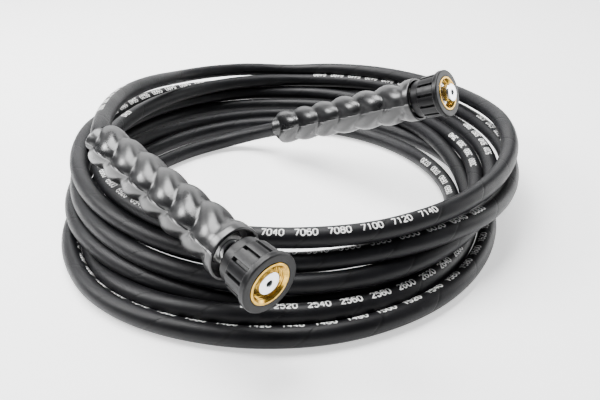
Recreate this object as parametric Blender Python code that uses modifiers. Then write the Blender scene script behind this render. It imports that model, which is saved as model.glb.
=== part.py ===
"""High-pressure hose, about 8 m, coiled on the floor, with a swivel hand-nut fitting at each end.

World frame in metres: +Z up, floor at z = 0, +Y away from the viewer, X to the right.
Sizes below are in millimetres and are turned into metres by MM.
"""
import bpy
import bmesh
from math import cos, sin, pi, radians, sqrt
from mathutils import Matrix, Quaternion, Vector

MM = 0.001
COLLECTION = "pressure_washer_hose"

# hose
HOSE_R = 6.7
TUBE_BEVEL = 3

# the coil: its turns as lobes of one turned section, five in the outer column, three behind it
ROW_R0, ROW_R1 = 163.0, 187.0
ROW_Z0, ROW_Z1 = 6.7, 44.8
OUTER_ROWS = 5
INNER_STEP = 12.6
BASE_CENTRE = (-5.4, -40.2)
LEAN = (0.14, 1.89)
COIL_STEPS = 60
OUTLINE_RAYS = 60

# fittings: centre of the nut's front face, and the grip's tail end that the axis runs through
NEAR_FACE, NEAR_TAIL = (-8.5, -220.9, 57.8), (-129.4, -86.8, 81.5)
FAR_FACE, FAR_TAIL = (121.8, -19.0, 94.7), (-11.1, 77.7, 27.9)
NEAR_SLIDE, FAR_SLIDE = 0.0, 4.5

# free stretches of hose past each grip: points in the air, then where they lie against the coil,
# as an angle about its middle, how far inside the outer row, and a height above the lowest or top row
TUBE_STEP = 15.0
NEAR_RUN = [(-137, -61, 84), (-144, -7, 80), (-146, 42, 71), (-136, 102, 61), (-121, 139, 56)]
NEAR_BED = [(124.9, 8.8, 6.7)]
FAR_RUN = [(-37, 91, 17)]
FAR_BED = [(114.6, 17.3, 1.8), (129.8, 17.9, 0.1), (145.5, 20.0, 0.1), (158.6, 20.2, 0.1), (167.8, 19.7, 0.1)]

# hand nut
NUT_LEN = 26.0
FLANGE_R, FLANGE_T = 18.4, 4.2
NUT_R_FRONT, NUT_R_REAR = 16.9, 14.5
SLOTS, SLOT_W, SLOT_DEPTH = 12, 1.7, 1.5
SLOT_TO_FLANGE, SLOT_TO_REAR = 1.5, 9.0
NUT_STEPS = 48

# brass threaded insert
INSERT_R, THREAD_R, SHOULDER_R = 13.2, 10.4, 7.3
INSERT_LEN, THREAD_LEN = 16.6, 12.0

# nipple
NIPPLE_R, BORE_R, COLLAR_R, SHANK_R = 7.0, 2.0, 9.5, 6.6

# crimped ferrule
FERRULE_R, FERRULE_BORE, FERRULE_FRONT, FERRULE_LEN = 10.4, 7.0, -36.0, 34.0
SHANK_END = -42.0

# moulded bend-protection grip
GRIP_MOUTH, GRIP_LEN, KNUCKLES, FIRST_KNUCKLE = -30.5, 150.0, 6.45, 0.59
GRIP_R_MOUTH, GRIP_R_TAIL, KNUCKLE_DEPTH = 17.2, 15.2, 3.6
ZIGZAG = 0.35
NEAR_ROLL, FAR_ROLL = 227.9, -109.6
GRIP_RINGS, GRIP_STEPS = 42, 22
MOUTH_R, MOUTH_DEPTH, GRIP_FERRULE_R, GRIP_HOSE_R = 14.6, 4.0, 10.8, 7.1


def clear_scene():
    for obj in list(bpy.data.objects):
        bpy.data.objects.remove(obj, do_unlink=True)


def collection(name):
    col = bpy.data.collections.new(name)
    bpy.context.scene.collection.children.link(col)
    return col


def material(name, colour, roughness, metallic):
    mat = bpy.data.materials.new(name)
    mat.use_nodes = True
    bsdf = mat.node_tree.nodes["Principled BSDF"]
    bsdf.inputs["Base Color"].default_value = (*colour, 1.0)
    bsdf.inputs["Roughness"].default_value = roughness
    bsdf.inputs["Metallic"].default_value = metallic
    mat.diffuse_color = (*colour, 1.0)
    return mat


def add(name, data, col, mat):
    obj = bpy.data.objects.new(name, data)
    col.objects.link(obj)
    data.materials.clear()
    data.materials.append(mat)
    return obj


def outline_mesh(name, outline):
    """A closed loop of edges in the XZ plane, for a Screw modifier."""
    mesh = bpy.data.meshes.new(name)
    verts = [(r * MM, 0.0, z * MM) for r, z in outline]
    edges = [(i, (i + 1) % len(verts)) for i in range(len(verts))]
    mesh.from_pydata(verts, edges, [])
    return mesh


def turned(name, outline, steps, col, mat, flip=False):
    """Solid of revolution about local Z from a closed section."""
    obj = add(name, outline_mesh(name, outline), col, mat)
    screw = obj.modifiers.new("turn", "SCREW")
    screw.axis = "Z"
    screw.angle = 2 * pi
    screw.steps = steps
    screw.render_steps = steps
    screw.use_merge_vertices = True
    screw.merge_threshold = 0.00001
    screw.use_normal_calculate = True
    screw.use_normal_flip = flip
    return obj


def baked(obj):
    """Replaces an object's modifiers by the mesh they make."""
    graph = bpy.context.evaluated_depsgraph_get()
    mesh = bpy.data.meshes.new_from_object(obj.evaluated_get(graph))
    mesh.name = obj.name
    obj.modifiers.clear()
    obj.data = mesh
    return mesh


def pose(obj, face, tail, slide=0.0, roll=0.0):
    """Puts local +Z on the fitting's axis, with the origin at the nut's front face, rolled about it by degrees."""
    face, tail = Vector(face), Vector(tail)
    axis = (face - tail).normalized()
    obj.location = (face + axis * slide) * MM
    turn = axis.to_track_quat("Z", "Y") @ Quaternion((0.0, 0.0, 1.0), radians(roll))
    obj.rotation_euler = turn.to_euler()


def lobes():
    """Centres of the coil's turns in the turned section, radius and height."""
    outer = []
    for i in range(OUTER_ROWS):
        t = i / (OUTER_ROWS - 1)
        outer.append((ROW_R0 + t * (ROW_R1 - ROW_R0), ROW_Z0 + t * (ROW_Z1 - ROW_Z0)))
    inner = [(r - INNER_STEP, z) for r, z in outer[1:-1]]
    return outer + inner


def coil_outline():
    """Outer shape of the touching turns, as the farthest reach along rays from the middle."""
    turns = lobes()
    cr = sum(r for r, z in turns) / len(turns)
    cz = sum(z for r, z in turns) / len(turns)
    outline = []
    for k in range(OUTLINE_RAYS):
        a = pi / 2 - 2 * pi * k / OUTLINE_RAYS
        dr, dz = cos(a), sin(a)
        reach = 4.0
        for r, z in turns:
            along = (r - cr) * dr + (z - cz) * dz
            side = abs((r - cr) * dz - (z - cz) * dr)
            if side < HOSE_R:
                reach = max(reach, along + sqrt(HOSE_R ** 2 - side ** 2))
        outline.append((cr + reach * dr, cz + reach * dz))
    return outline


def make_coil(col, mat):
    coil = turned("hose_coil", coil_outline(), COIL_STEPS, col, mat)
    mesh = baked(coil)
    lean = Matrix.Identity(4)
    lean[0][2], lean[1][2] = LEAN
    mesh.transform(lean)
    coil.location = ((BASE_CENTRE[0] - LEAN[0] * ROW_Z0) * MM, (BASE_CENTRE[1] - LEAN[1] * ROW_Z0) * MM, 0.0)
    return coil


def bedded(bed, row_r, row_z):
    """Points that lie against the coil, from their angles, insets and rises on one of its rows."""
    cx = BASE_CENTRE[0] + LEAN[0] * (row_z - ROW_Z0)
    cy = BASE_CENTRE[1] + LEAN[1] * (row_z - ROW_Z0)
    points = []
    for angle, inset, rise in bed:
        a = radians(angle)
        points.append((cx + (row_r - inset) * cos(a), cy + (row_r - inset) * sin(a), row_z + rise))
    return points


def on_axis(face, tail, slide, local_z):
    face, tail = Vector(face), Vector(tail)
    axis = (face - tail).normalized()
    return face + axis * (slide + local_z)


def smooth_path(points, step):
    """Catmull-Rom curve through the points, resampled at about the given step."""
    pts = [2 * points[0] - points[1]] + points + [2 * points[-1] - points[-2]]
    out = []
    for i in range(1, len(pts) - 2):
        a, b, c, d = pts[i - 1], pts[i], pts[i + 1], pts[i + 2]
        count = max(1, round((c - b).length / step))
        for k in range(count):
            t = k / count
            out.append(0.5 * (2 * b + (c - a) * t + (2 * a - 5 * b + 4 * c - d) * t * t
                              + (3 * b - a - 3 * c + d) * t ** 3))
    out.append(points[-1].copy())
    return out


def hose_end(name, face, tail, slide, run, col, mat):
    """The hose's end: from the nipple's shank through ferrule and grip, then down to the coil."""
    grip_end = GRIP_MOUTH - GRIP_LEN
    inside = [on_axis(face, tail, slide, SHANK_END - 0.4 + t * (grip_end - 4.0 - SHANK_END)) for t in (0, 0.5, 1)]
    path = inside + smooth_path([inside[-1]] + [Vector(p) for p in run], TUBE_STEP)[1:]
    curve = bpy.data.curves.new(name, "CURVE")
    curve.dimensions = "3D"
    spline = curve.splines.new("POLY")
    spline.points.add(len(path) - 1)
    for point, p in zip(spline.points, path):
        point.co = (p.x * MM, p.y * MM, p.z * MM, 1.0)
    curve.bevel_depth = HOSE_R * MM
    curve.bevel_resolution = TUBE_BEVEL
    curve.use_fill_caps = True
    return add(name, curve, col, mat)


def make_nut(name, col, tools, mat):
    front, rear = -FLANGE_T, -NUT_LEN
    bore, back_hole, wall = INSERT_R + 0.3, 11.2, -(INSERT_LEN + 0.3)
    outline = [(bore + 0.6, 0.0), (FLANGE_R - 0.8, 0.0), (FLANGE_R, -0.8), (FLANGE_R, front + 0.8),
               (FLANGE_R - 0.8, front), (NUT_R_FRONT, front - 0.6), (NUT_R_FRONT - 0.6, rear + 8.0),
               (NUT_R_REAR + 0.4, rear + 6.5), (NUT_R_REAR, rear + 1.2), (NUT_R_REAR - 1.2, rear),
               (back_hole, rear), (back_hole, wall), (bore, wall), (bore, -0.6)]
    nut = turned(name, outline, NUT_STEPS, col, mat)
    bm = bmesh.new()
    for i in range(SLOTS):
        a = 2 * pi * (i + 0.5) / SLOTS
        length = (front - SLOT_TO_FLANGE) - (rear + SLOT_TO_REAR)
        middle = rear + SLOT_TO_REAR + length / 2
        cube = bmesh.ops.create_cube(bm, size=1.0)["verts"]
        move = (Matrix.Rotation(a, 4, "Z")
                @ Matrix.Translation(((NUT_R_FRONT - SLOT_DEPTH + 2.0) * MM, 0.0, middle * MM))
                @ Matrix.Diagonal((4.0 * MM, SLOT_W * MM, length * MM, 1.0)))
        bmesh.ops.transform(bm, matrix=move, verts=cube)
    mesh = bpy.data.meshes.new(name + "_slots")
    bm.to_mesh(mesh)
    bm.free()
    cutter = bpy.data.objects.new(name + "_slots", mesh)
    tools.objects.link(cutter)
    cutter.hide_render = True
    cutter.display_type = "WIRE"
    cutter.parent = nut
    cut = nut.modifiers.new("slots", "BOOLEAN")
    cut.operation = "DIFFERENCE"
    cut.solver = "EXACT"
    cut.object = cutter
    return nut


def make_insert(name, col, mat):
    outline = [(THREAD_R + 1.0, 0.3), (INSERT_R - 0.4, 0.3), (INSERT_R, -0.1), (INSERT_R, -INSERT_LEN),
               (SHOULDER_R, -INSERT_LEN), (SHOULDER_R, -THREAD_LEN), (THREAD_R, -THREAD_LEN), (THREAD_R, -0.7)]
    return turned(name, outline, 40, col, mat)


def make_nipple(name, col, mat):
    collar_front, collar_back = -8.4, -11.6
    outline = [(BORE_R + 0.4, -0.5), (NIPPLE_R - 0.5, -0.5), (NIPPLE_R, -1.0), (NIPPLE_R, collar_front),
               (COLLAR_R, collar_front), (COLLAR_R, collar_back), (SHANK_R, collar_back), (SHANK_R, SHANK_END),
               (BORE_R, SHANK_END), (BORE_R, -0.9)]
    return turned(name, outline, 32, col, mat, flip=True)


def make_ferrule(name, col, mat):
    back = FERRULE_FRONT - FERRULE_LEN
    outline = [(FERRULE_BORE, FERRULE_FRONT), (FERRULE_R - 1.2, FERRULE_FRONT),
               (FERRULE_R, FERRULE_FRONT - 1.2), (FERRULE_R, back + 1.0), (FERRULE_R - 1.0, back),
               (FERRULE_BORE, back)]
    return turned(name, outline, 28, col, mat)


def knuckle(phase):
    """Height of the moulded wave: 0 in a sharp valley and 1 on a round crest."""
    return sin(pi * (phase % 1.0) ** 0.95)


def make_grip(name, col, mat):
    tail = GRIP_MOUTH - GRIP_LEN
    outer = []
    for k in range(GRIP_RINGS + 1):
        t = k / GRIP_RINGS
        outer.append((GRIP_R_MOUTH + t * (GRIP_R_TAIL - GRIP_R_MOUTH), GRIP_MOUTH - t * GRIP_LEN))
    ferrule_back = FERRULE_FRONT - FERRULE_LEN - 1.0
    inner = [(GRIP_HOSE_R, tail), (GRIP_HOSE_R, ferrule_back), (GRIP_FERRULE_R, ferrule_back),
             (GRIP_FERRULE_R, GRIP_MOUTH - MOUTH_DEPTH), (MOUTH_R, GRIP_MOUTH - MOUTH_DEPTH),
             (MOUTH_R, GRIP_MOUTH)]
    grip = turned(name, outer + inner, GRIP_STEPS, col, mat, flip=True)
    mesh = baked(grip)
    for v in mesh.vertices:
        r = v.co.to_2d().length / MM
        z = v.co.z / MM
        t = (GRIP_MOUTH - z) / GRIP_LEN
        if r < GRIP_R_MOUTH + t * (GRIP_R_TAIL - GRIP_R_MOUTH) - 0.3:
            continue
        from_parting = Vector((1.0, 0.0)).angle_signed(v.co.to_2d())
        depth = KNUCKLE_DEPTH * min(1.0, max(0.0, (GRIP_MOUTH - 5.0 - z) / 6.0))
        cut = depth * (1.0 - knuckle(t * KNUCKLES + FIRST_KNUCKLE - ZIGZAG * cos(2 * from_parting)))
        v.co.x *= (r - cut) / r
        v.co.y *= (r - cut) / r
    return grip


def make_fitting(side, face, tail, slide, roll, col, tools, mats):
    """One end: nut and insert sit at the face; nipple, ferrule and grip are slid along the axis."""
    nut = make_nut(side + "_nut", col, tools, mats["nut"])
    insert = make_insert(side + "_thread_insert", col, mats["brass"])
    for obj in (nut, insert):
        pose(obj, face, tail)
    nipple = make_nipple(side + "_nipple", col, mats["nipple"])
    ferrule = make_ferrule(side + "_ferrule", col, mats["ferrule"])
    grip = make_grip(side + "_grip", col, mats["grip"])
    for obj in (nipple, ferrule, grip):
        pose(obj, face, tail, slide, roll)


def main():
    clear_scene()
    col = collection(COLLECTION)
    tools = collection("cutters")
    mats = {
        "hose": material("hose_rubber", (0.028, 0.028, 0.032), 0.42, 0.0),
        "grip": material("grip_rubber", (0.022, 0.022, 0.026), 0.22, 0.0),
        "nut": material("nut_plastic", (0.035, 0.035, 0.038), 0.35, 0.0),
        "brass": material("brass", (0.86, 0.62, 0.25), 0.25, 1.0),
        "nipple": material("plated_steel", (0.86, 0.87, 0.88), 0.18, 1.0),
        "ferrule": material("crimped_steel", (0.62, 0.62, 0.60), 0.35, 1.0),
    }
    make_coil(col, mats["hose"])
    near_run = NEAR_RUN + bedded(NEAR_BED, ROW_R1, ROW_Z1)
    far_run = FAR_RUN + bedded(FAR_BED, ROW_R0, ROW_Z0)
    hose_end("near_hose_end", NEAR_FACE, NEAR_TAIL, NEAR_SLIDE, near_run, col, mats["hose"])
    hose_end("far_hose_end", FAR_FACE, FAR_TAIL, FAR_SLIDE, far_run, col, mats["hose"])
    make_fitting("near", NEAR_FACE, NEAR_TAIL, NEAR_SLIDE, NEAR_ROLL, col, tools, mats)
    make_fitting("far", FAR_FACE, FAR_TAIL, FAR_SLIDE, FAR_ROLL, col, tools, mats)


main()
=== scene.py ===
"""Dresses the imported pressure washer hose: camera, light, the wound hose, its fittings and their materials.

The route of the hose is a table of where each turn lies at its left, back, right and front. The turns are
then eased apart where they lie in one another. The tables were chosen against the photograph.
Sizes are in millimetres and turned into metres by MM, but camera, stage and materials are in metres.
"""
from math import acos, ceil, cos, pi, radians, sin, sqrt, tan

import bmesh
import bpy
import numpy as np
from mathutils import Matrix, Quaternion, Vector


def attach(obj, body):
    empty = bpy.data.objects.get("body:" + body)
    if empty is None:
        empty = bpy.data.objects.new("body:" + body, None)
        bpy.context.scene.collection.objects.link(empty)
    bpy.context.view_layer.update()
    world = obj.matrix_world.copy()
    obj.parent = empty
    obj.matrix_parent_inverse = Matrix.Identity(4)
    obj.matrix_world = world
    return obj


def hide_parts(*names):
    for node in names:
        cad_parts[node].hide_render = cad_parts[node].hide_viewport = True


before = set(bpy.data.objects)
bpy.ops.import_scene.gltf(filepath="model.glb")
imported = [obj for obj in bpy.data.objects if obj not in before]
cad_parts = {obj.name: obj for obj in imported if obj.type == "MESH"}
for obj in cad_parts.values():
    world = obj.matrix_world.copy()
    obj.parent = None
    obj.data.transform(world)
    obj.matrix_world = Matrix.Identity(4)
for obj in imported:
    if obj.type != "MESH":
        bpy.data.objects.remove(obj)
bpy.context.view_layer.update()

MM = 0.001

# The camera of the photograph: its place, how many degrees it looks down, and its lens.
CAMERA_AT, CAMERA_PITCH = (0.007, -0.4962, 0.2539), 27.94
FOCAL_PX, PHOTO_WIDTH_PX, SENSOR_MM = 639.2, 600, 36.0

# The hose's radius, and the axis of each fitting from the nut's face to its tail, as in the CAD source.
# The slide is how far the nipple and the grip sit forward along that axis.
HOSE_R = 6.7
NEAR_FACE, NEAR_TAIL, NEAR_SLIDE = (-8.5, -220.9, 57.8), (-129.4, -86.8, 81.5), 0.0
FAR_FACE, FAR_TAIL, FAR_SLIDE = (121.8, -19.0, 94.7), (-11.1, 77.7, 27.9), 4.5
# Points of the run between each grip and the turns, and of the bend from the last turn to the far run.
NEAR_RUN = [(-137, -61, 84), (-145, -10, 80), (-147, 45, 73), (-138, 100, 65)]
FAR_RUN = [(-37, 91, 17), (-66, 92.3, 8.5), (-98.3, 71.3, 6.8), (-123.3, 40.8, 6.8), (-138.3, 12, 6.8),
           (-145.5, -10, 6.8)]
LAST_BEND = [(-129, -90, 6.8), (-144, -50, 6.8)]
# Each turn at its left, back, right and front: how far it reaches that way, and its height there.
# The near run leads into the first turn, which has no entry at its left.
TURNS = [
    [None, (222, 40.8), (182, 54), (-163, 51)],
    [(-158, 42.5), (211, 33.5), (181, 36.5), (-167, 32.6)],
    [(-178, 43.5), (223, 22), (167.5, 30), (-176, 26.8)],
    [(-176, 30), (204, 20.5), (155, 24), (-179, 11)],
    [(-175, 17), (193, 10.3), (147, 13.4), (-191, 14)],
    [(-163, 11.5), (168, 8), (158, 6.7), (-199.5, 6.7)],
    [(-169, 6.7), (141, 8), (134, 6.7), (-166, 7)],
]
# How much further out some turns lie halfway through a quarter, by the quarter's number.
SWELL = {0: -7.0, 2: -2.0, 3: 5.0, 6: 3.0, 7: 1.5, 8: 6.0, 11: 1.0, 15: 4.0, 16: 4.0, 19: 5.0,
         23: 4.0, 24: -3.0}
# More entries at both ends of the turns: reach to the sides, reach to the front and back, and height.
SIDE_FIRST, SIDE_LAST = (0.15, -152), -152
DEEP_FIRST, DEEP_LAST = (-1, -160), 92
HIGH_FIRST = (0.5, 53)
# Where the turns start, and how much of their end is left off, both in quarters.
TURNS_FROM, TURNS_CUT = 0.55, 0.75
PER_QUARTER = 6
# The hose is straight inside a grip, between these two heights of the fitting's own frame.
SHANK_END, GRIP_END = -42.4, -178.0
ROUTE_STEP, RING_STEP, TUBE_SIDES = 8.0, 5.0, 22
# Easing apart: its rounds, the points held at each end, and the room kept between turns and round a grip.
EASING_ROUNDS, QUICK_ROUNDS = 150, 40
HELD_POINTS, PAST_HELD = 22, 3
CLEARANCE, NEAR_ROOM, FAR_ROOM = 0.15, 17.5, 17.0
PAIRS_EVERY, PAIR_MARGIN = 10, 6
TURN_PUSH, GRIP_PUSH, SMOOTHING, KEPT_SHIFT = 1.2, 0.6, 0.25, 0.995

# The fittings, each in its own frame: +Z points to the face, and 0 is at the front of the nut.
NUT_LEN, FLANGE_R, FLANGE_T = 26.0, 18.4, 4.2
NUT_R_FRONT, NUT_R_REAR = 16.9, 14.5
SLOTS, SLOT_W, SLOT_DEPTH = 12, 2.1, 1.9
# Half of a slot's flat bottom and each of its slopes as shares of its width, how far it stays from the
# flange and from the rear of the nut, and the lengths over which it fades there.
SLOT_FLAT, SLOT_SLOPE = 0.40, 0.17
SLOT_FRONT, SLOT_REAR = 0.3, 8.4
FADE_FRONT, FADE_REAR = 0.25, 0.8
# The rubbed edge of a land: its place from the slot's middle as a share of the slot's width, and its
# half width.
LAND_EDGE, EDGE_HALF = 0.68, 0.3
# The brass insert with its thread, the steel nipple, and the grip.
INSERT_R, THREAD_R, SHOULDER_R, INSERT_LEN, THREAD_LEN = 13.2, 10.4, 7.3, 16.6, 12.0
THREAD_PITCH, THREAD_DEPTH = 1.5, 0.8
NIPPLE_R, BORE_R, COLLAR_R, SHANK_R = 7.0, 2.0, 9.5, 6.6
GRIP_MOUTH, GRIP_LEN, KNUCKLES, FIRST_KNUCKLE = -30.5, 150.0, 6.45, 0.59
GRIP_R_MOUTH, GRIP_R_TAIL, KNUCKLE_DEPTH, ZIGZAG = 17.2, 15.2, 3.8, 0.35
MOUTH_R, MOUTH_DEPTH, GRIP_FERRULE_R, GRIP_HOSE_R = 15.2, 9.0, 10.8, 7.1
NEAR_ROLL, FAR_ROLL = 227.9, -109.6
FERRULE_BACK = -71.0
# One of a grip's two parting lines and one of its two shallow sides, in degrees round it.
FLASH_AT, SHALLOW_AT = -71.0, -120.0
# A parting line's height, its half width in radians, and how near to its middle counts as on it.
FLASH_HEIGHT, FLASH_HALF, FLASH_EDGE = 0.4, 0.018, 0.004
# The knuckles' mean depth and how much it swings round the grip, as shares of KNUCKLE_DEPTH.
DEPTH_MEAN, DEPTH_SWING = 0.82, 0.18
# The plain collar at a grip's mouth, and the length over which the knuckles begin behind it.
PLAIN_COLLAR, COLLAR_FADE = 5.0, 6.0
GRIP_SIDES = 72


def on_axis(face, tail, slide, local_z):
    face, tail = Vector(face), Vector(tail)
    return face + (face - tail).normalized() * (slide + local_z)


def place(face, tail, slide=0.0, roll=0.0):
    """Matrix from a fitting's own frame to the shared frame, rolled about the axis by degrees."""
    axis = (Vector(face) - Vector(tail)).normalized()
    turn = axis.to_track_quat("Z", "Y") @ Quaternion((0.0, 0.0, 1.0), radians(roll))
    at = on_axis(face, tail, slide, 0.0) * MM
    return Matrix.Translation(at) @ turn.to_matrix().to_4x4()


# Materials

# Metres of hose to one lap of the tape, and between threads of the cloth.
TAPE_LAP, WEAVE_PITCH = 0.0445, 0.00115


def add_node(tree, kind, sockets=None, **settings):
    """A node with its settings, and its sockets set or linked by name or number."""
    node = tree.nodes.new("ShaderNode" + kind)
    for key, value in settings.items():
        setattr(node, key, value)
    for key, value in (sockets or {}).items():
        socket = node.inputs[key]
        if isinstance(value, bpy.types.NodeSocket):
            tree.links.new(value, socket)
        else:
            socket.default_value = value
    return node


def maths(tree, operation, a, b=0.0, c=0.0):
    return add_node(tree, "Math", {0: a, 1: b, 2: c}, operation=operation).outputs[0]


def band(tree, value, low, high, to_low=0.0, to_high=1.0):
    """value from low..high to to_low..to_high, smoothly and clamped."""
    node = add_node(tree, "MapRange", {"Value": value, "From Min": low, "From Max": high,
                                       "To Min": to_low, "To Max": to_high},
                    interpolation_type="SMOOTHSTEP")
    return node.outputs["Result"]


def tint(tree, factor, dark, light):
    """A colour from dark to light by the factor."""
    node = add_node(tree, "Mix", data_type="RGBA")
    tree.links.new(factor, node.inputs["Factor"])
    node.inputs["A"].default_value = (*dark, 1.0)
    node.inputs["B"].default_value = (*light, 1.0)
    return node.outputs["Result"]


def noise(tree, vector, scale, detail=3.0, roughness=0.55):
    return add_node(tree, "TexNoise", {"Vector": vector, "Scale": scale, "Detail": detail,
                                       "Roughness": roughness}).outputs["Fac"]


def new_material(name, roughness, metallic=0.0):
    mat = bpy.data.materials.new(name)
    mat.use_nodes = True
    tree = mat.node_tree
    shader = tree.nodes["Principled BSDF"]
    shader.inputs["Roughness"].default_value = roughness
    shader.inputs["Metallic"].default_value = metallic
    coords = tree.nodes.new("ShaderNodeTexCoord")
    return mat, tree, shader, coords


def bump(tree, shader, height, distance, strength):
    node = add_node(tree, "Bump", {"Height": height, "Distance": distance, "Strength": strength})
    tree.links.new(node.outputs["Normal"], shader.inputs["Normal"])


def hose_material():
    """Black rubber cover cured under wound cloth tape: a slanting seam each turn, and the cloth's weave."""
    mat, tree, shader, coords = new_material("hose_cover", 0.42)
    shader.inputs["Specular IOR Level"].default_value = 0.2
    flat = coords.outputs["UV"]
    uv = add_node(tree, "SeparateXYZ", {0: flat})
    along, around = uv.outputs["X"], uv.outputs["Y"]
    lap = maths(tree, "ADD", maths(tree, "DIVIDE", along, TAPE_LAP),
                maths(tree, "DIVIDE", around, 2 * pi * HOSE_R * MM))
    lap = maths(tree, "ADD", lap, maths(tree, "MULTIPLY", noise(tree, flat, 9.0, 2.0), 0.12))
    lap = maths(tree, "FRACT", lap)
    edge = maths(tree, "MULTIPLY", band(tree, lap, 0.0, 0.022), band(tree, lap, 0.93, 1.0, 1.0, 0.0))
    threads = 2 * pi / WEAVE_PITCH
    warp = maths(tree, "SINE", maths(tree, "MULTIPLY", maths(tree, "ADD", along, around), threads))
    weft = maths(tree, "SINE", maths(tree, "MULTIPLY", maths(tree, "SUBTRACT", along, around), threads))
    weave = maths(tree, "MULTIPLY", warp, weft)
    grain = noise(tree, flat, 900.0)
    patch = noise(tree, flat, 28.0, 4.0, 0.6)
    scuff = band(tree, noise(tree, flat, 75.0, 5.0, 0.7), 0.60, 0.74)
    base = tint(tree, band(tree, patch, 0.3, 0.7), (0.0024, 0.0024, 0.0032), (0.0048, 0.0048, 0.0060))
    worn = tint(tree, maths(tree, "MULTIPLY", scuff, 0.35), (0.0, 0.0, 0.0), (0.022, 0.022, 0.023))
    both = add_node(tree, "Mix", data_type="RGBA", blend_type="ADD")
    both.inputs["Factor"].default_value = 1.0
    tree.links.new(base, both.inputs["A"])
    tree.links.new(worn, both.inputs["B"])
    dark_seam = add_node(tree, "Mix", data_type="RGBA", blend_type="MULTIPLY")
    tree.links.new(maths(tree, "SUBTRACT", 1.0, edge), dark_seam.inputs["Factor"])
    tree.links.new(both.outputs["Result"], dark_seam.inputs["A"])
    dark_seam.inputs["B"].default_value = (0.35, 0.35, 0.37, 1.0)
    tree.links.new(dark_seam.outputs["Result"], shader.inputs["Base Color"])
    rough = maths(tree, "ADD", band(tree, patch, 0.25, 0.75, 0.36, 0.48),
                  maths(tree, "MULTIPLY", scuff, 0.15))
    tree.links.new(rough, shader.inputs["Roughness"])
    cloth = maths(tree, "ADD", maths(tree, "MULTIPLY", weave, 0.45), maths(tree, "MULTIPLY", grain, 0.9))
    relief = maths(tree, "ADD", cloth, maths(tree, "MULTIPLY", lap, 2.2))
    relief = maths(tree, "ADD", relief, maths(tree, "MULTIPLY", edge, 2.2))
    bump(tree, shader, relief, 0.00006, 0.8)
    return mat


def print_material():
    """White transfer ink, a little broken up."""
    mat, tree, shader, coords = new_material("white_ink", 0.5)
    gone = band(tree, noise(tree, coords.outputs["Object"], 700.0, 4.0, 0.7), 0.36, 0.5)
    tree.links.new(tint(tree, gone, (0.30, 0.30, 0.30), (0.86, 0.86, 0.84)), shader.inputs["Base Color"])
    return mat


def grip_material():
    """Glossy moulded rubber with fine rubbing along it and dust in the valleys."""
    mat, tree, shader, coords = new_material("grip_cover", 0.3)
    shader.inputs["Specular IOR Level"].default_value = 0.65
    place_at = add_node(tree, "Mapping", {"Vector": coords.outputs["Object"], "Scale": (1.0, 1.0, 0.06)})
    lines = noise(tree, place_at.outputs["Vector"], 1400.0, 3.0, 0.6)
    patch = noise(tree, coords.outputs["Object"], 60.0, 4.0, 0.6)
    depth = add_node(tree, "Attribute", attribute_name="valley").outputs["Fac"]
    dust = maths(tree, "MULTIPLY", band(tree, depth, 0.45, 1.0), band(tree, patch, 0.4, 0.7, 0.2, 0.7))
    tone = tint(tree, dust, (0.0030, 0.0030, 0.0035), (0.010, 0.010, 0.0105))
    tree.links.new(tone, shader.inputs["Base Color"])
    rough = maths(tree, "ADD", band(tree, patch, 0.3, 0.7, 0.26, 0.35), maths(tree, "MULTIPLY", dust, 0.25))
    tree.links.new(rough, shader.inputs["Roughness"])
    small = noise(tree, coords.outputs["Object"], 320.0, 3.0)
    relief = maths(tree, "ADD", maths(tree, "MULTIPLY", lines, 0.5), small)
    bump(tree, shader, relief, 0.00012, 0.8)
    return mat


def nut_material():
    """Moulded glass-filled nylon: fine grain, edges rubbed paler."""
    mat, tree, shader, coords = new_material("nut_cover", 0.38)
    shader.inputs["Specular IOR Level"].default_value = 0.2
    grain = noise(tree, coords.outputs["Object"], 2600.0, 2.0)
    patch = noise(tree, coords.outputs["Object"], 140.0, 4.0, 0.65)
    edge = add_node(tree, "Attribute", attribute_name="edge").outputs["Fac"]
    rubbed = maths(tree, "MULTIPLY", edge, band(tree, patch, 0.35, 0.65, 0.15, 0.9))
    tone = tint(tree, rubbed, (0.0025, 0.0025, 0.0030), (0.024, 0.024, 0.025))
    tree.links.new(tone, shader.inputs["Base Color"])
    tree.links.new(band(tree, patch, 0.3, 0.7, 0.30, 0.42), shader.inputs["Roughness"])
    bump(tree, shader, maths(tree, "ADD", grain, maths(tree, "MULTIPLY", patch, 0.8)), 0.00004, 0.7)
    return mat


def metal_material(name, dark, light, roughness, ring_scale):
    """Turned metal: fine rings about the axis, and a slow change of tone."""
    mat, tree, shader, coords = new_material(name, roughness, 1.0)
    xyz = add_node(tree, "SeparateXYZ", {0: coords.outputs["Object"]})
    x, y, z = (xyz.outputs[k] for k in ("X", "Y", "Z"))
    square = maths(tree, "ADD", maths(tree, "MULTIPLY", x, x), maths(tree, "MULTIPLY", y, y))
    travel = maths(tree, "ADD", maths(tree, "SQRT", square), maths(tree, "MULTIPLY", z, 0.8))
    rings = noise(tree, add_node(tree, "CombineXYZ", {"X": travel}).outputs[0], ring_scale, 4.0, 0.7)
    patch = noise(tree, coords.outputs["Object"], 260.0, 4.0, 0.6)
    tree.links.new(tint(tree, band(tree, patch, 0.35, 0.7), dark, light), shader.inputs["Base Color"])
    uneven = maths(tree, "MULTIPLY_ADD", patch, 0.08, roughness - 0.04)
    rough = maths(tree, "ADD", band(tree, rings, 0.3, 0.7, -0.05, 0.07), uneven)
    tree.links.new(rough, shader.inputs["Roughness"])
    bump(tree, shader, rings, 0.00003, 0.6)
    return mat


# Shapes

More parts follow.
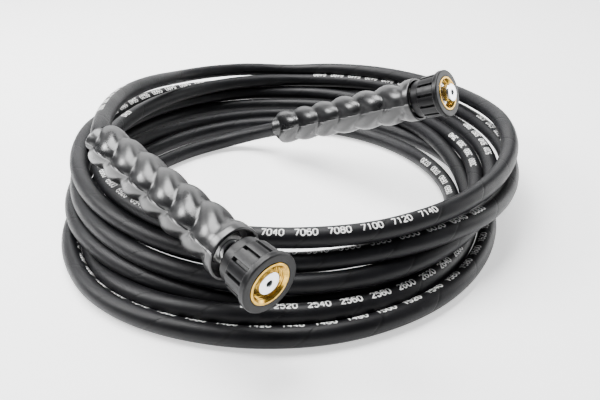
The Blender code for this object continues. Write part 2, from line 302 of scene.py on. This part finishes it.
def finish_mesh(name, verts, faces, mat, body, at=None, sharp=None):
    """An object of the mesh with outward normals; edges over the sharp angle in degrees aren't smoothed."""
    mesh = bpy.data.meshes.new(name)
    mesh.from_pydata([tuple(v) for v in verts], [], faces)
    mesh.materials.append(mat)
    bm = bmesh.new()
    bm.from_mesh(mesh)
    bmesh.ops.recalc_face_normals(bm, faces=bm.faces)
    bm.to_mesh(mesh)
    bm.free()
    mesh.shade_smooth()
    if sharp:
        mesh.set_sharp_from_angle(angle=radians(sharp))
    obj = bpy.data.objects.new(name, mesh)
    bpy.context.scene.collection.objects.link(obj)
    if at is not None:
        obj.matrix_world = at
    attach(obj, body)
    return obj


def rounded(section, step, arc=4):
    """A closed section (r, z, corner radius) with its corners rounded and points at most step apart."""
    count = len(section)
    corners = [Vector(p[:2]) for p in section]
    outline = []
    for i, (r, z, fillet) in enumerate(section):
        back, here, ahead = corners[i - 1], corners[i], corners[(i + 1) % count]
        to_back, to_ahead = back - here, ahead - here
        if fillet <= 0:
            outline.append(here)
            continue
        half = acos(max(-1.0, min(1.0, to_back.normalized().dot(to_ahead.normalized())))) / 2
        reach = min(fillet / max(tan(half), 0.05), 0.45 * to_back.length, 0.45 * to_ahead.length)
        a, b = here + to_back.normalized() * reach, here + to_ahead.normalized() * reach
        for k in range(arc + 1):
            t = k / arc
            outline.append(a * (1 - t) ** 2 + here * 2 * t * (1 - t) + b * t ** 2)
    dense = []
    for i, p in enumerate(outline):
        q = outline[(i + 1) % len(outline)]
        parts = max(1, ceil((q - p).length / step - 1e-6))
        dense += [p.lerp(q, k / parts) for k in range(parts)]
    return [(p.x, p.y) for p in dense]


def lathe(name, outline, angles, mat, body, at, shape=None, sharp=38.0, marks=None):
    """A closed outline turned about Z at the given angles; shape(r, z, angle) moves a point.

    marks is (attribute name, function of r, z, angle, new r) for a value kept on each point.
    """
    verts, values = [], []
    for angle in angles:
        for r, z in outline:
            rr, zz = shape(r, z, angle) if shape else (r, z)
            verts.append(Vector((rr * cos(angle), rr * sin(angle), zz)) * MM)
            if marks:
                values.append(marks[1](r, z, angle, rr))
    rows, cols = len(outline), len(angles)
    faces = []
    for c in range(cols):
        d = (c + 1) % cols
        for k in range(rows):
            m = (k + 1) % rows
            faces.append((c * rows + k, c * rows + m, d * rows + m, d * rows + k))
    obj = finish_mesh(name, verts, faces, mat, body, at, sharp)
    if marks:
        attribute = obj.data.attributes.new(marks[0], "FLOAT", "POINT")
        attribute.data.foreach_set("value", values)
    return obj


def even_angles(count):
    return [2 * pi * k / count for k in range(count)]


# The hose's route

def eased(table, q, smooth):
    """Value of a table of (quarter, value) at q, by half a cosine or straight between its entries."""
    keys = [k for k, _ in table]
    i = max(0, min(len(table) - 2, int(np.searchsorted(keys, q, side="right")) - 1))
    (k0, v0), (k1, v1) = table[i], table[i + 1]
    u = (q - k0) / (k1 - k0)
    if smooth:
        u = (1 - cos(pi * u)) / 2
    else:
        u = max(0.0, min(1.0, u))
    return v0 + (v1 - v0) * u


def turns_path():
    """Points along all the turns, from the entry at the left of the first to the end of the last."""
    flat = [entry for turn in TURNS for entry in turn]
    last = len(flat)
    side = [SIDE_FIRST] + [(k, e[0]) for k, e in enumerate(flat) if k % 2 == 0 and e] + [(last, SIDE_LAST)]
    deep = [DEEP_FIRST] + [(k, e[0]) for k, e in enumerate(flat) if k % 2 == 1] + [(last + 1, DEEP_LAST)]
    high = [HIGH_FIRST] + [(k, e[1]) for k, e in enumerate(flat) if e]
    points = []
    for k in range(int(TURNS_FROM * PER_QUARTER), int((last - TURNS_CUT) * PER_QUARTER) + 1):
        q = k / PER_QUARTER
        x, y, z = eased(side, q, True), eased(deep, q, True), eased(high, q, False)
        out = 1 + SWELL.get(int(q), 0.0) * sin(pi * (q % 1.0)) ** 2 / sqrt(x * x + y * y)
        points.append((x * out, y * out, z))
    return points


def inside_points(face, tail, slide):
    """Three points of the straight stretch inside a grip."""
    return [tuple(on_axis(face, tail, slide, z)) for z in (SHANK_END, (SHANK_END + GRIP_END) / 2, GRIP_END)]


def spline(points, per_span):
    """Catmull-Rom curve through the points."""
    p = np.array(points, float)
    p = np.vstack([2 * p[0] - p[1], p, 2 * p[-1] - p[-2]])
    out = []
    for i in range(1, len(p) - 2):
        a, b, c, d = p[i - 1:i + 3]
        for k in range(per_span):
            t = k / per_span
            out.append(0.5 * (2 * b + (c - a) * t + (2 * a - 5 * b + 4 * c - d) * t * t
                              + (3 * b - a - 3 * c + d) * t ** 3))
    return np.array(out + [p[-2]])


def resampled(points, step):
    run = np.r_[0, np.cumsum(np.linalg.norm(np.diff(points, axis=0), axis=1))]
    at = np.linspace(0, run[-1], int(round(run[-1] / step)) + 1)
    return np.stack([np.interp(at, run, points[:, i]) for i in range(3)], 1)


def pushed_out(points, a, b, reach):
    """How far each point has to move to be outside the capsule from a to b."""
    d = b - a
    t = np.clip(((points - a) @ d) / (d @ d), 0, 1)
    away = points - (a + t[:, None] * d)
    far = np.linalg.norm(away, axis=1)
    return away / np.maximum(far, 1e-6)[:, None] * np.maximum(0, reach - far)[:, None]


def eased_apart(points, rounds):
    """Moves turns that lie in each other, or in a grip, apart, and keeps the line smooth."""
    start, count = points.copy(), len(points)
    apart = 2 * HOSE_R + CLEARANCE
    skip = int(ceil(6 * HOSE_R / ROUTE_STEP))
    free = np.ones((count, 1))
    free[:HELD_POINTS] = free[-HELD_POINTS:] = 0
    index = np.arange(count)
    near = np.abs(index[:, None] - index[None]) < skip
    near_a, near_b = np.array(NEAR_FACE), np.array(NEAR_TAIL)
    far_a, far_b = np.array(FAR_FACE), np.array(FAR_TAIL)
    for turn in range(rounds):
        if turn % PAIRS_EVERY == 0:
            square = ((points[:, None] - points[None]) ** 2).sum(2)
            square[near] = 1e9
            first, second = np.where(square < (apart + PAIR_MARGIN) ** 2)
            first, second = first[first < second], second[first < second]
        gap = points[first] - points[second]
        size = np.maximum(np.linalg.norm(gap, axis=1), 1e-3)
        short = np.maximum(0, apart - size) * 0.5
        push = gap / size[:, None] * short[:, None]
        move, hits = np.zeros_like(points), np.zeros(count)
        np.add.at(move, first, push)
        np.add.at(move, second, -push)
        np.add.at(hits, first, short > 0)
        np.add.at(hits, second, short > 0)
        move *= TURN_PUSH / np.maximum(hits, 1)[:, None]
        grip = pushed_out(points, near_a, near_b, NEAR_ROOM + HOSE_R)
        grip[:HELD_POINTS + PAST_HELD] = 0
        move += GRIP_PUSH * grip
        grip = pushed_out(points, far_a, far_b, FAR_ROOM + HOSE_R)
        grip[-HELD_POINTS - PAST_HELD:] = 0
        move += GRIP_PUSH * grip
        shift = points + move * free - start
        for _ in range(2):
            shift[1:-1] += SMOOTHING * free[1:-1] * (shift[:-2] - 2 * shift[1:-1] + shift[2:])
        points = start + KEPT_SHIFT * shift
        points[:, 2] = np.maximum(points[:, 2], HOSE_R)
    return points


def hose_route():
    """Points of the hose's middle line from the near end to the far end, RING_STEP apart."""
    control = (inside_points(NEAR_FACE, NEAR_TAIL, NEAR_SLIDE) + NEAR_RUN + turns_path() + LAST_BEND
               + FAR_RUN[::-1] + inside_points(FAR_FACE, FAR_TAIL, FAR_SLIDE)[::-1])
    line = resampled(spline(control, 12), ROUTE_STEP)
    line = eased_apart(line, EASING_ROUNDS)
    return resampled(spline(line, 6), RING_STEP)


# The hose and its print

COIL_MIDDLE = (0.0, 5.0)
# Which side of the hose the print is on, in degrees from outwards (0) over the top (90) to inwards (180),
# at the left, back, right and front of each turn; the first entry is a quarter before the first turn's left.
INK_SIDE = [
    60, 74, 56, 104, 54,
    100, 101, 92, 98,
    168, 76, 96, 118,
    170, 250, 92, 120,
    190, 250, 66, 84,
    200, 250, 100, 113,
    180, 240, 108, 110,
    60, 40,
]
# How many points to each side the print's side is averaged over.
INK_BLEND = 20


def quarters(line):
    """How far along the turns each point is, in quarters: 0 at the left of the first turn, 1 at its back."""
    out = line[:, :2] - np.array(COIL_MIDDLE)
    quarter = -np.unwrap(np.arctan2(out[:, 1], -out[:, 0])) / (pi / 2)
    return quarter * np.sign(quarter[-1] - quarter[0])


def side_frames(line):
    """Tangent, the side that the print is on and the third axis."""
    tangent = np.gradient(line, axis=0)
    tangent /= np.linalg.norm(tangent, axis=1)[:, None]
    out = line[:, :2] - np.array(COIL_MIDDLE)
    angle = np.radians(np.interp(quarters(line), np.arange(len(INK_SIDE)) - 1, INK_SIDE))
    window = 2 * INK_BLEND + 1
    angle = np.convolve(np.pad(angle, INK_BLEND, mode="edge"), np.ones(window) / window, mode="valid")
    out /= np.linalg.norm(out, axis=1)[:, None]
    side = np.column_stack([np.cos(angle)[:, None] * out, np.sin(angle)])
    face = side - tangent * (tangent * side).sum(1)[:, None]
    face /= np.linalg.norm(face, axis=1)[:, None]
    return tangent, face, np.cross(tangent, face)


def make_hose(line, mat):
    tangent, face, side = side_frames(line)
    verts, rings = [], len(line)
    for i in range(rings):
        for k in range(TUBE_SIDES):
            a = 2 * pi * k / TUBE_SIDES
            verts.append((line[i] + HOSE_R * (face[i] * cos(a) + side[i] * sin(a))) * MM)
    faces = []
    for i in range(rings - 1):
        here, ahead = i * TUBE_SIDES, (i + 1) * TUBE_SIDES
        for k in range(TUBE_SIDES):
            m = (k + 1) % TUBE_SIDES
            faces.append((here + k, here + m, ahead + m, ahead + k))
    faces.append(tuple(range(TUBE_SIDES)))
    faces.append(tuple((rings - 1) * TUBE_SIDES + k for k in reversed(range(TUBE_SIDES))))
    hose = finish_mesh("wound_hose", verts, faces, mat, "hose", sharp=60.0)
    layer = hose.data.uv_layers.new(name="UVMap")
    girth = 2 * pi * HOSE_R * MM
    for polygon in hose.data.polygons:
        slots = [v % TUBE_SIDES for v in polygon.vertices]
        over_seam = max(slots) == TUBE_SIDES - 1 and min(slots) == 0 and len(slots) == 4
        for loop, v, k in zip(polygon.loop_indices, polygon.vertices, slots):
            around = (TUBE_SIDES if over_seam and k == 0 else k) / TUBE_SIDES
            layer.data[loop].uv = ((v // TUBE_SIDES) * RING_STEP * MM, around * girth)
    return hose


# Each digit is one stroke on a grid 3 wide and 5 high.
DIGITS = {
    "0": [(0, 1), (0, 4), (1, 5), (2, 5), (3, 4), (3, 1), (2, 0), (1, 0), (0, 1)],
    "1": [(0.7, 4), (1.7, 5), (1.7, 0)],
    "2": [(0, 4), (1, 5), (2, 5), (3, 4), (3, 3.2), (0, 0), (3, 0)],
    "3": [(0, 4.3), (1, 5), (2, 5), (3, 4.2), (3, 3.3), (2, 2.6), (3, 1.9), (3, 0.9), (2, 0), (1, 0),
          (0, 0.8)],
    "4": [(2.2, 0), (2.2, 5), (0, 1.6), (3, 1.6)],
    "5": [(2.8, 5), (0.3, 5), (0, 2.7), (1, 3.1), (2, 3.1), (3, 2.2), (3, 1), (2, 0), (1, 0), (0, 0.7)],
    "6": [(2.7, 4.6), (2, 5), (1, 5), (0, 4), (0, 1), (1, 0), (2, 0), (3, 0.9), (3, 2), (2, 2.9),
          (1, 2.9), (0, 2.1)],
    "7": [(0, 5), (3, 5), (1.2, 0)],
    "8": [(1, 2.6), (0.2, 3.3), (0.2, 4.3), (1, 5), (2, 5), (2.8, 4.3), (2.8, 3.3), (2, 2.6), (1, 2.6),
          (0, 1.8),
          (0, 0.8), (1, 0), (2, 0), (3, 0.8), (3, 1.8), (2, 2.6)],
    "9": [(0.3, 0.4), (1, 0), (2, 0), (3, 1), (3, 4), (2, 5), (1, 5), (0, 4.1), (0, 3), (1, 2.1),
          (2, 2.1), (3, 2.9)],
}
INK_HEIGHT, INK_STROKE, INK_RISE = 4.3, 0.85, 0.07
DIGIT_ROWS, DIGIT_SPACING, RIBBON_STEP = 5, 4.2, 0.7
# Millimetres from mark to mark, by which a mark lies further along than it says, and left unmarked at
# the end.
MARK_EVERY, MARK_OFFSET, UNMARKED_END = 20.0, 120, 300
# Stretches of the turns that have marks, in quarters.
MARKED = [(-0.3, 0.25), (2.68, 3.8), (4.2, 4.3), (5.1, 5.5), (5.75, 6.15), (6.45, 7.2), (8.1, 8.9),
          (9.75, 10.05), (13.8, 14.1), (18.5, 19.1), (22.35, 23.65), (25.8, 26.2)]


def stroke_marks(length, quarter_at):
    """Strokes of the length marks, flat: (distance along, offset across) in millimetres."""
    strokes, scale = [], INK_HEIGHT / DIGIT_ROWS
    for mark in range(1, int((length - UNMARKED_END) / MARK_EVERY)):
        at = mark * MARK_EVERY + MARK_OFFSET
        if not any(low <= quarter_at(at) <= high for low, high in MARKED):
            continue
        for n, digit in enumerate("%04d" % (mark * MARK_EVERY)):
            strokes.append([(at + (DIGIT_SPACING * n + x) * scale, (y - DIGIT_ROWS / 2) * scale)
                            for x, y in DIGITS[digit]])
    return strokes


def make_print(line, mat):
    """The marks as thin ribbons wrapped on the hose, read from its far end."""
    quarter = quarters(line)[::-1]
    tangent, face, _ = (a[::-1] for a in side_frames(line))
    line, tangent = line[::-1], -tangent
    steps = np.arange(len(line)) * RING_STEP
    length = steps[-1]
    verts, faces = [], []

    def on_hose(s, w):
        centre, t, f = (np.array([np.interp(s, steps, a[:, i]) for i in range(3)])
                        for a in (line, tangent, face))
        f /= np.linalg.norm(f)
        up = np.cross(f, t)
        a = w / HOSE_R
        return (centre + (HOSE_R + INK_RISE) * (f * cos(a) + up * sin(a))) * MM

    for points in stroke_marks(length, lambda s: np.interp(s, steps, quarter)):
        flat = []
        for (x0, y0), (x1, y1) in zip(points, points[1:]):
            parts = max(1, ceil(max(abs(x1 - x0), abs(y1 - y0)) / RIBBON_STEP))
            flat += [(x0 + (x1 - x0) * k / parts, y0 + (y1 - y0) * k / parts) for k in range(parts)]
        flat.append(points[-1])
        for i, (x, y) in enumerate(flat):
            ax, ay = flat[max(0, i - 1)]
            bx, by = flat[min(len(flat) - 1, i + 1)]
            size = max(sqrt((bx - ax) ** 2 + (by - ay) ** 2), 1e-6)
            nx, ny = -(by - ay) / size * INK_STROKE / 2, (bx - ax) / size * INK_STROKE / 2
            verts += [on_hose(x + nx, y + ny), on_hose(x - nx, y - ny)]
            if i:
                n = len(verts)
                faces.append((n - 4, n - 3, n - 1, n - 2))
    return finish_mesh("length_marks", verts, faces, mat, "hose")


# The fittings

def slot_angles():
    """Angles for the nut, close together at the sides of each slot."""
    half = SLOT_W / 2 / NUT_R_FRONT
    pitch = 2 * pi / SLOTS
    offsets = [-1.5, -1.15, -0.95, -0.8, -0.35, 0.0, 0.35, 0.8, 0.95, 1.15, 1.5]
    angles = []
    for i in range(SLOTS):
        middle = (i + 0.5) * pitch
        angles += [middle + o * half for o in offsets]
        gap = pitch - 3.0 * half
        angles += [middle + 1.5 * half + gap * k / 6 for k in range(1, 6)]
    return sorted(a % (2 * pi) for a in angles)


def from_slot(angle):
    """Distance round the nut from the middle of the nearest slot."""
    pitch = 2 * pi / SLOTS
    return abs((angle / pitch) % 1.0 - 0.5) * pitch * NUT_R_FRONT


def slot_cut(z, angle):
    """How deep the slot is at a point of the nut's outside: 0 on a land."""
    across = 1.0 - min(1.0, max(0.0, (from_slot(angle) - SLOT_FLAT * SLOT_W) / (SLOT_SLOPE * SLOT_W)))
    front, rear = -FLANGE_T - SLOT_FRONT, -NUT_LEN + SLOT_REAR
    along = min(1.0, max(0.0, (z - rear) / FADE_REAR)) * min(1.0, max(0.0, (front - z) / FADE_FRONT))
    return SLOT_DEPTH * across * across * (3 - 2 * across) * along


def make_nut(side, at, mat):
    """The hand nut: a plain flange, lands and slots, and a rim and lands that are rubbed paler."""
    front, rear = -FLANGE_T, -NUT_LEN
    bore, back_hole, wall = INSERT_R + 0.3, 11.2, -(INSERT_LEN + 0.3)
    section = [(bore, 0.0, 0.4), (FLANGE_R, 0.0, 0.9), (FLANGE_R, front, 0.8), (NUT_R_FRONT, front, 0.35),
               (NUT_R_FRONT - 0.55, rear + 7.6, 0.5), (NUT_R_REAR + 0.35, rear + 6.7, 0.3),
               (NUT_R_REAR, rear, 1.1), (back_hole, rear, 0.4), (back_hole, wall, 0), (bore, wall, 0)]
    outline = rounded(section, 0.9)

    def shape(r, z, angle):
        if r > bore + 1.0 and rear + 6.0 < z < front:
            return r - slot_cut(z, angle), z
        return r, z

    def edge(r, z, angle, rr):
        on_rim = r > FLANGE_R - 0.5 and (z > -0.9 or z < front + 0.8)
        off_edge = abs(from_slot(angle) - LAND_EDGE * SLOT_W)
        on_land = rr == r and z < front and r > NUT_R_REAR + 1.2 and off_edge < EDGE_HALF
        return 1.0 if on_rim or on_land else 0.0

    nut = lathe(side + "_hand_nut", outline, slot_angles(), mat, side + "_nut", at, shape, 34.0,
                ("edge", edge))
    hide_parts(side + "_nut")
    return nut


def make_insert(side, at, mat):
    """Brass insert with its thread: one start, turned as a wave that runs round with the pitch."""
    section = [(THREAD_R + 1.3, 0.3, 0.2), (INSERT_R, 0.3, 0.35), (INSERT_R, -INSERT_LEN, 0.2),
               (SHOULDER_R, -INSERT_LEN, 0.2), (SHOULDER_R, -THREAD_LEN, 0.3), (THREAD_R, -THREAD_LEN, 0.3),
               (THREAD_R, -1.1, 0.1)]
    outline = rounded(section, 0.24, 3)

    def shape(r, z, angle):
        if r > THREAD_R + 0.02 or r < THREAD_R - 0.02 or not -THREAD_LEN + 0.8 < z < -1.0:
            return r, z
        phase = (z / THREAD_PITCH - angle / (2 * pi)) % 1.0
        tooth = abs(phase - 0.5) * 2
        fade = min(1.0, (-1.0 - z) / 0.5, (z + THREAD_LEN - 0.8) / 0.8)
        return r + THREAD_DEPTH * max(0.0, tooth * 1.3 - 0.2) * max(0.0, fade), z

    insert = lathe(side + "_brass_thread", outline, even_angles(64), mat, side + "_nut", at, shape, 40.0)
    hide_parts(side + "_thread_insert")
    return insert


def make_nipple(side, at, mat):
    """The steel nipple: a bored nose with a groove, the collar that keeps the nut, and the shank."""
    section = [(BORE_R, -0.5, 0.5), (NIPPLE_R, -0.5, 0.7), (NIPPLE_R, -5.2, 0.15),
               (NIPPLE_R - 0.8, -5.4, 0.2), (NIPPLE_R - 0.8, -6.9, 0.2), (NIPPLE_R, -7.1, 0.15),
               (NIPPLE_R, -8.4, 0.2), (COLLAR_R, -8.4, 0.3), (COLLAR_R, -11.6, 0.3),
               (SHANK_R, -11.6, 0.3), (SHANK_R, SHANK_END + 0.4, 0.3), (BORE_R, SHANK_END + 0.4, 0.1)]
    nipple = lathe(side + "_steel_nipple", rounded(section, 4.0), even_angles(48), mat, "hose", at)
    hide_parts(side + "_nipple")
    return nipple


def knuckle(phase):
    """Height of the moulded wave: 0 in a sharp valley and 1 on a round crest."""
    return sin(pi * (phase % 1.0) ** 0.95)


def make_grip(side, at, mat):
    """The bend protector: staggered knuckles, fine parting lines, and a thin lip at the mouth."""
    tail = GRIP_MOUTH - GRIP_LEN
    section = [(GRIP_R_MOUTH, GRIP_MOUTH, 0.9), (GRIP_R_TAIL, tail, 1.4), (GRIP_HOSE_R, tail, 0.4),
               (GRIP_HOSE_R, FERRULE_BACK, 0), (GRIP_FERRULE_R, FERRULE_BACK, 0),
               (GRIP_FERRULE_R, GRIP_MOUTH - MOUTH_DEPTH, 0.3), (MOUTH_R, GRIP_MOUTH - MOUTH_DEPTH, 0.3),
               (MOUTH_R, GRIP_MOUTH, 0.6)]
    outline = rounded(section, 1.0)

    def at_depth(z):
        return (GRIP_MOUTH - z) / GRIP_LEN

    def outer(r, z):
        return r > GRIP_R_MOUTH + at_depth(z) * (GRIP_R_TAIL - GRIP_R_MOUTH) - 0.9 - 0.6 * (z < tail + 1.5)

    def cut(z, angle):
        wave = knuckle(at_depth(z) * KNUCKLES + FIRST_KNUCKLE - ZIGZAG * cos(2 * angle))
        deep = KNUCKLE_DEPTH * (DEPTH_MEAN - DEPTH_SWING * cos(2 * (angle - radians(SHALLOW_AT))))
        return deep * min(1.0, max(0.0, (GRIP_MOUTH - PLAIN_COLLAR - z) / COLLAR_FADE)) * (1.0 - wave)

    def shape(r, z, angle):
        if not outer(r, z):
            return r, z
        off = (angle - radians(FLASH_AT)) % pi
        flash = FLASH_HEIGHT if min(off, pi - off) < FLASH_EDGE else 0.0
        return r - cut(z, angle) + flash, z

    def valley(r, z, angle, rr):
        return cut(z, angle) / KNUCKLE_DEPTH if outer(r, z) else 1.0

    angles = []
    for k in range(GRIP_SIDES):
        a = radians(FLASH_AT) + 2 * pi * k / GRIP_SIDES
        angles += [a - FLASH_HALF, a, a + FLASH_HALF] if k % (GRIP_SIDES // 2) == 0 else [a]
    grip = lathe(side + "_bend_guard", outline, angles, mat, "hose", at, shape, 60.0, ("valley", valley))
    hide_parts(side + "_grip")
    return grip


# The stage

FLOOR_SIZE, FLOOR_TONE, FLOOR_GLOW = 8.0, (0.92, 0.92, 0.92, 1.0), 0.9
WORLD_TONE, WORLD_STRENGTH = (0.92, 0.95, 1.0, 1.0), 0.2


def make_camera():
    data = bpy.data.cameras.new("camera")
    data.sensor_width = SENSOR_MM
    data.lens = SENSOR_MM * FOCAL_PX / PHOTO_WIDTH_PX
    data.clip_start = 0.01
    camera = bpy.data.objects.new("camera", data)
    bpy.context.scene.collection.objects.link(camera)
    camera.location = CAMERA_AT
    camera.rotation_euler = (radians(90 - CAMERA_PITCH), 0.0, 0.0)
    bpy.context.scene.camera = camera


def soft_light(name, at, size, power, look_at=(0.0, 0.0, 0.03), tall=None):
    """A rectangular lamp, size wide and as tall unless tall is given, turned to look_at."""
    data = bpy.data.lights.new(name, "AREA")
    data.shape = "RECTANGLE"
    data.size, data.size_y = size, tall or size
    data.energy = power
    light = bpy.data.objects.new(name, data)
    bpy.context.scene.collection.objects.link(light)
    light.location = at
    light.rotation_euler = (Vector(look_at) - Vector(at)).to_track_quat("-Z", "Y").to_euler()


def make_stage():
    """A pale floor that glows a little, a dim world and four lamps."""
    bpy.ops.mesh.primitive_plane_add(size=FLOOR_SIZE, location=(0.0, 0.0, 0.0))
    floor = bpy.context.object
    floor.name = "floor"
    mat, _, shader, _ = new_material("pale_floor", 0.6)
    shader.inputs["Base Color"].default_value = FLOOR_TONE
    shader.inputs["Emission Color"].default_value = (1.0, 1.0, 1.0, 1.0)
    shader.inputs["Emission Strength"].default_value = FLOOR_GLOW
    floor.data.materials.append(mat)
    world = bpy.data.worlds.new("studio")
    world.use_nodes = True
    background = world.node_tree.nodes["Background"]
    background.inputs["Color"].default_value = WORLD_TONE
    background.inputs["Strength"].default_value = WORLD_STRENGTH
    bpy.context.scene.world = world
    soft_light("overhead", (-0.35, 0.35, 1.5), 1.3, 76.0, tall=0.9)
    soft_light("backdrop", (-0.2, 1.9, 0.75), 3.0, 28.0, (0.0, 0.0, 0.1), tall=1.1)
    soft_light("side_left", (-1.3, 0.05, 1.0), 0.5, 32.0, (-0.05, -0.1, 0.05))
    soft_light("side_right", (1.7, 0.6, 0.45), 1.0, 18.0, (0.1, 0.0, 0.05))


def main():
    make_camera()
    make_stage()
    line = hose_route()
    hose = make_hose(line, hose_material())
    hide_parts("hose_coil", "near_hose_end", "far_hose_end")
    marks = make_print(line, print_material())
    mats = {
        "nut": nut_material(),
        "grip": grip_material(),
        "brass": metal_material("turned_brass", (0.42, 0.24, 0.035), (0.72, 0.46, 0.09), 0.2, 2600.0),
        "nipple": metal_material("bright_steel", (0.80, 0.81, 0.83), (0.92, 0.93, 0.94), 0.2, 2200.0),
        "ferrule": metal_material("crimped_steel", (0.45, 0.45, 0.44), (0.62, 0.62, 0.60), 0.36, 1500.0),
    }
    pieces = [marks]
    for side, face, tail, slide, roll in (("near", NEAR_FACE, NEAR_TAIL, NEAR_SLIDE, NEAR_ROLL),
                                          ("far", FAR_FACE, FAR_TAIL, FAR_SLIDE, FAR_ROLL)):
        still = place(face, tail)
        slid = place(face, tail, slide, roll)
        pieces += [make_nut(side, still, mats["nut"]), make_insert(side, still, mats["brass"]),
                   make_nipple(side, slid, mats["nipple"]), make_grip(side, slid, mats["grip"])]
        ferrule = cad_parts[side + "_ferrule"]
        ferrule.data.materials.clear()
        ferrule.data.materials.append(mats["ferrule"])
        pieces.append(ferrule)


main()
